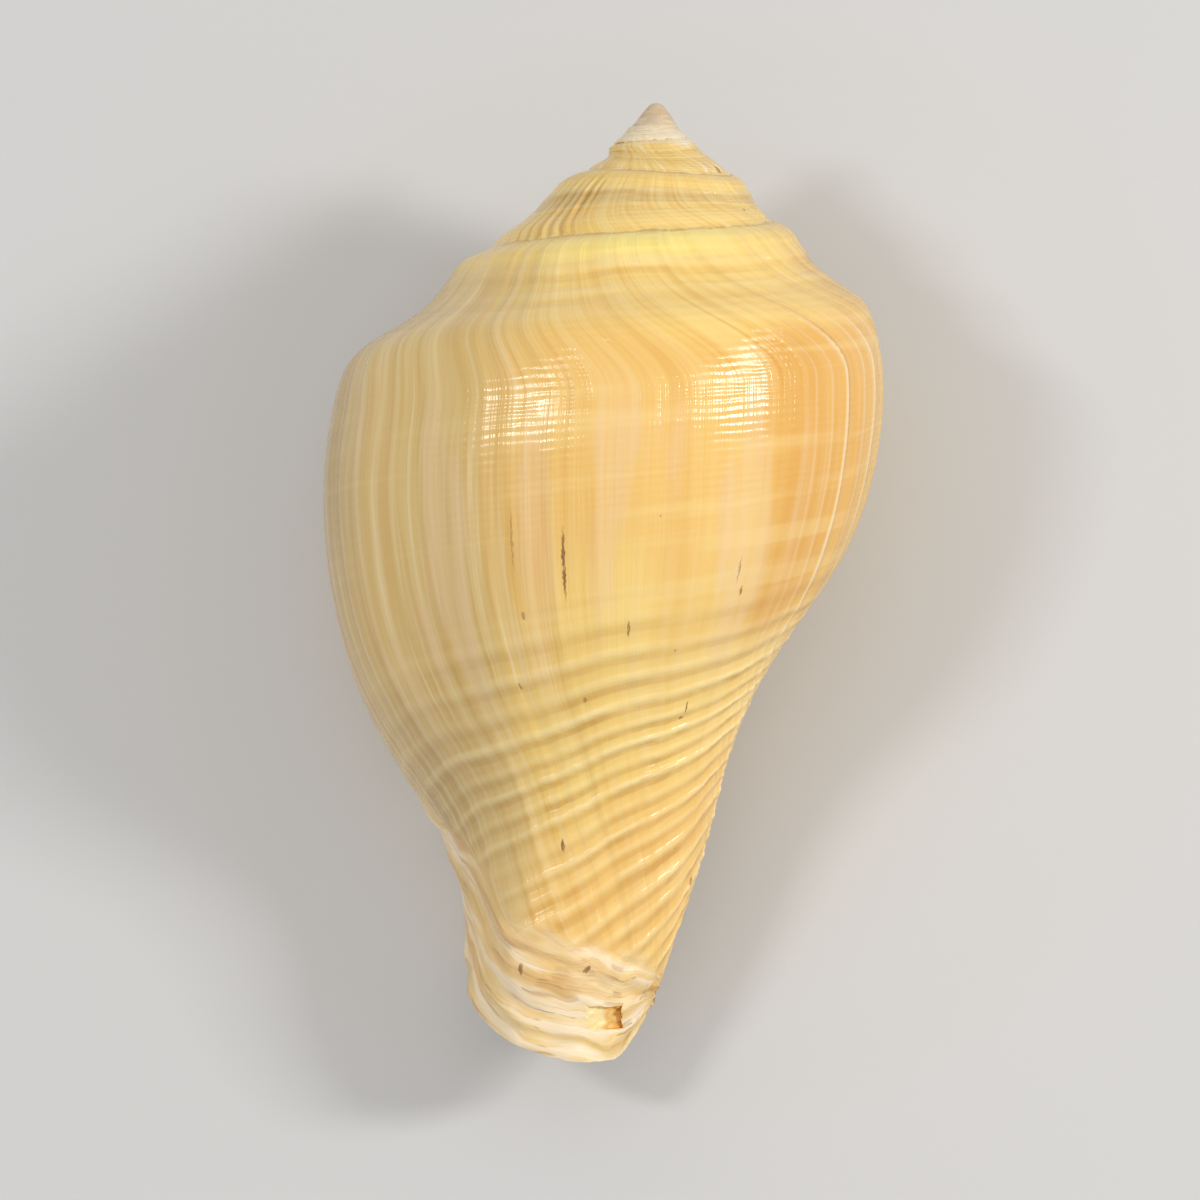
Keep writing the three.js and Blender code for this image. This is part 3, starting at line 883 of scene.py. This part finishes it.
# Old lips
# Raised lines where the lip once rested, most of them by the right edge, each with a pale painted highlight
# along it and a soft brown painted shade beside it. Each has its line, width and strength.
OLD_LIP_LINES = (
    (37.5, 1.0, 0.5), (21.0, 1.0, 0.45), (28.0, 0.8, 0.25), (12.5, 0.8, 0.25), (43.0, 0.7, 0.2),
    (48.5, 0.6, 0.15),
)
OLD_LIP_HIGHLIGHT = (0.93, 0.8, 0.58)
OLD_LIP_SHADE = (0.78, 0.62, 0.42)
SHADE_BESIDE = 1.6
below_ramp = depth.between(16, 21) * (1 - lamellae)
for at, wide, strength in OLD_LIP_LINES:
    # A painted highlight along each old lip and painted shade beside it.
    pale = (flow - at).math("ABSOLUTE").between(wide, wide * 0.3, 0.0, strength)
    tone = outside.mix(pale * below_ramp, tone, OLD_LIP_HIGHLIGHT)
    shaded = (flow - at + SHADE_BESIDE).math("ABSOLUTE").between(0.9, 0.1, 0.0, strength * 0.5)
    tone = outside.mix(shaded * below_ramp, tone, OLD_LIP_SHADE, "MULTIPLY")

# Damage
# Fine cracks, pits and specks, brown with old dirt. Each has its angle and depth, its half width in
# degrees, its half height in millimetres and its strength.
MARKS = (
    (106.6, 35.7, 0.42, 2.9, 1.0), (65.6, 38.3, 0.24, 1.2, 0.6), (63.9, 40.1, 0.36, 0.5, 0.9),
    (92.4, 41.5, 0.34, 0.66, 0.8), (119.4, 55.9, 0.8, 0.5, 1.0), (71.4, 49.2, 0.3, 0.6, 1.0),
    (72.6, 49.9, 1.2, 0.13, 0.8), (112.0, 66.0, 2.2, 0.24, 1.0), (137.4, 63.3, 1.1, 0.45, 0.9),
    (38.6, 67.0, 2.4, 0.35, 0.8), (116.5, 39.1, 0.45, 0.3, 0.8), (105.0, 46.1, 0.5, 0.22, 0.7),
    (117.4, 33.5, 0.3, 2.4, 0.45), (-323.5, 16.35, 1.6, 0.28, 0.8), (-687.4, 17.95, 3.0, 0.9, 0.9),
    (79.5, 44.0, 0.4, 0.14, 0.6), (86.0, 33.0, 0.22, 0.14, 0.5), (121.5, 44.0, 0.5, 0.28, 0.6),
)
DIRT = (0.24, 0.095, 0.022)
ragged_angle = angle + outside.noise(angle * 0.9, depth * 2.4) - 0.5
ragged_depth = depth + (outside.noise(angle * 0.9, depth * 2.4, z=4.0) - 0.5) * 0.35
dark = None
for at, low_at, wide, tall, strength in MARKS:
    beside = (ragged_angle - at) * (1 / wide)
    beyond = (ragged_depth - low_at) * (1 / tall)
    mark = (beside * beside + beyond * beyond).between(1.2, 0.3, 0.0, strength)
    dark = mark if dark is None else dark.math("MAXIMUM", mark)
broken = outside.noise(angle * 1.1, depth * 1.6, z=2.0).between(0.38, 0.52)
dark = dark * (broken * 0.35 + 0.65)
tone = outside.mix(dark * 0.9, tone, DIRT)
outside.set(outside.surface, "Base Color", tone)

# Fine relief
# Heights in millimetres that are too small for the mesh: hair-fine threads round the shoulder, which cross
# the growth lines and break the highlights up, the streaks, the cords' crests and grooves, and the worn
# layers.
THREAD_RATE = 9.8
THREAD_HEIGHT = 0.009
CORD_BUMP = 0.07
MARK_DEPTH = 0.02
threads = (depth * THREAD_RATE + (outside.noise(angle * 0.12, depth * 0.5) - 0.5) * 4.0).math("SINE")
thread_zone = outside.noise(angle * 0.12, depth * 0.35, z=8.0).between(0.34, 0.56, 0.35, 1.0)
threads = threads * thread_zone * depth.between(36, 31)
lines_height = (narrow - 0.5) * 0.03 + (fine - 0.5) * 0.035 + (hair - 0.5) * 0.015
cord_bump = (crest - under_crest) * CORD_BUMP * shown
layer_height = (layer * 0.2 + layers.math("FRACT") * 0.12 - crease * 0.05) * lamellae
height = lines_height * (1 - base * 0.6) + threads * THREAD_HEIGHT
height = height + cord_bump + layer_height - dark * MARK_DEPTH
outside.set(outside.surface, "Normal", outside.bump(height, MM))
dull = outside.noise(angle * 0.2, depth * 0.6, detail=3.0, z=6.0)
roughness = dull.between(0.3, 0.7, 0.1, 0.22) + lamellae * 0.22 + dark * 0.3 + base * 0.08
outside.set(outside.surface, "Roughness", roughness)

# The inside's finish
# The last layer that the animal laid down, smooth and glossy: cream at the lip and warm orange further in,
# with soft clouds and low ripples along the growth lines.
LIP_CREAM = (0.86, 0.7, 0.48)
DEEP_ORANGE = (0.78, 0.4, 0.16)
CLOUD_COLOUR = (0.9, 0.72, 0.5)
RIPPLE_HEIGHT = 0.0001
inside = Shader("shell_inside")
line, low = inside.uv("growth")
deep = line.between(214, 168)
cloud = inside.noise(line * 0.06, low * 0.1)
glaze_tone = inside.mix(deep, LIP_CREAM, DEEP_ORANGE)
glaze_tone = inside.mix(cloud.between(0.3, 0.7, 0.0, 0.4), glaze_tone, CLOUD_COLOUR)
inside.set(inside.surface, "Base Color", glaze_tone)
inside.set(inside.surface, "Roughness", cloud.between(0.3, 0.7, 0.14, 0.24))
ripple = inside.noise(line * 0.35, low * 0.05)
inside.set(inside.surface, "Normal", inside.bump(ripple, RIPPLE_HEIGHT))

# The layer under the broken flake
# Bare shell that the sea hasn't polished, in the broken window: orange on the right, cream on the left,
# with a rough broken grain.
UNDER_CREAM = (0.95, 0.76, 0.36)
UNDER_ORANGE = (0.82, 0.45, 0.08)
UNDER_FLECK = (0.86, 0.68, 0.38)
GRAIN_SCALE = 1500.0
GRAIN_HEIGHT = 0.00006
under = Shader("shell_under_layer")
where = under.node("ShaderNodeTexCoord", {}, {}, "Object")
across = (under.parts(where)[0] - float(window_middle[0])) * (1 / MM)
grain = under.node("ShaderNodeTexNoise", {}, {"Vector": where, "Scale": GRAIN_SCALE, "Detail": 3.0})
orange = (across + (grain - 0.5) * 0.8).between(-0.25, 0.15)
under_tone = under.mix(orange, UNDER_CREAM, UNDER_ORANGE)
under_tone = under.mix(grain.between(0.35, 0.65, 0.0, 0.3), under_tone, UNDER_FLECK)
under.set(under.surface, "Base Color", under_tone)
under.set(under.surface, "Roughness", grain.between(0.3, 0.7, 0.35, 0.5))
under.set(under.surface, "Normal", under.bump(grain, GRAIN_HEIGHT))

# The finished shell
# Its three finishes go into its slots, of which the cutting has made some. Each corner gets its colour,
# and the strength of its cords in place of the alpha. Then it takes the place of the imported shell.
SHARP_EDGE = 50
for i, shader in enumerate((outside, inside, under)):
    if i < len(shell.data.materials):
        shell.data.materials[i] = shader.material
    else:
        shell.data.materials.append(shader.material)
corners = np.empty(len(shell.data.loops) * 2)
shell.data.uv_layers["place"].uv.foreach_get("vector", corners)
angles, depths = corners.reshape(-1, 2).T
painted = np.ones((len(angles), 4))
painted[:, :3] = tint(angles, depths)
painted[:, 3] = np.clip(cord_strength(angles, depths) / FULL_CORD, 0, 1)
shell.data.attributes.new("tint", "FLOAT_COLOR", "CORNER").data.foreach_set("color", painted.ravel())

bpy.ops.object.select_all(action="DESELECT")
shell.select_set(True)
bpy.context.view_layer.objects.active = shell
bpy.ops.object.shade_smooth_by_angle(angle=math.radians(SHARP_EDGE))
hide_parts("shell")
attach(shell, "root")

# The table
# A plain pale matt surface, far larger than the view. It is no part of the shell.
TABLE_SIZE = 3
TABLE_COLOUR = (0.62, 0.61, 0.6, 1)
TABLE_ROUGHNESS = 0.8
bpy.ops.mesh.primitive_plane_add(size=TABLE_SIZE)
table = bpy.context.object
table.name = "table"
table_finish = bpy.data.materials.new("pale_table")
table_finish.use_nodes = True
table_surface = table_finish.node_tree.nodes["Principled BSDF"]
table_surface.inputs["Base Color"].default_value = TABLE_COLOUR
table_surface.inputs["Roughness"].default_value = TABLE_ROUGHNESS
table.data.materials.append(table_finish)

# The studio light
# Two soft panels stand left and right of the camera, and an even pale sky fills the shadows. Each panel
# has the way to it in the shell's own frame, its size in metres and its power in watts.
PANELS = (
    ("panel_left", (-0.61, 0.2, 0.76), (0.05, 0.12), 0.55),
    ("panel_right", (0.73, 0.22, 0.65), (0.07, 0.12), 1.35),
)
LIGHT_DISTANCE = 0.5
LIT_POINT_MM = (0.0, -25.0, 0.0)
SKY_STRENGTH = 0.6
world = bpy.data.worlds.new("studio")
world.use_nodes = True
sky = world.node_tree.nodes["Background"]
sky.inputs["Color"].default_value = (1, 1, 1, 1)
sky.inputs["Strength"].default_value = SKY_STRENGTH
bpy.context.scene.world = world
lit_point = Vector(grown(np.array(LIT_POINT_MM)))
for name, toward, size, power in PANELS:
    data = bpy.data.lights.new(name, "AREA")
    data.shape = "RECTANGLE"
    data.size, data.size_y = size
    data.energy = power
    panel = bpy.data.objects.new(name, data)
    bpy.context.collection.objects.link(panel)
    direction = lying @ Vector(toward).normalized()
    panel.location = lit_point + direction * LIGHT_DISTANCE
    panel.rotation_euler = direction.to_track_quat("Z", "Y").to_euler()
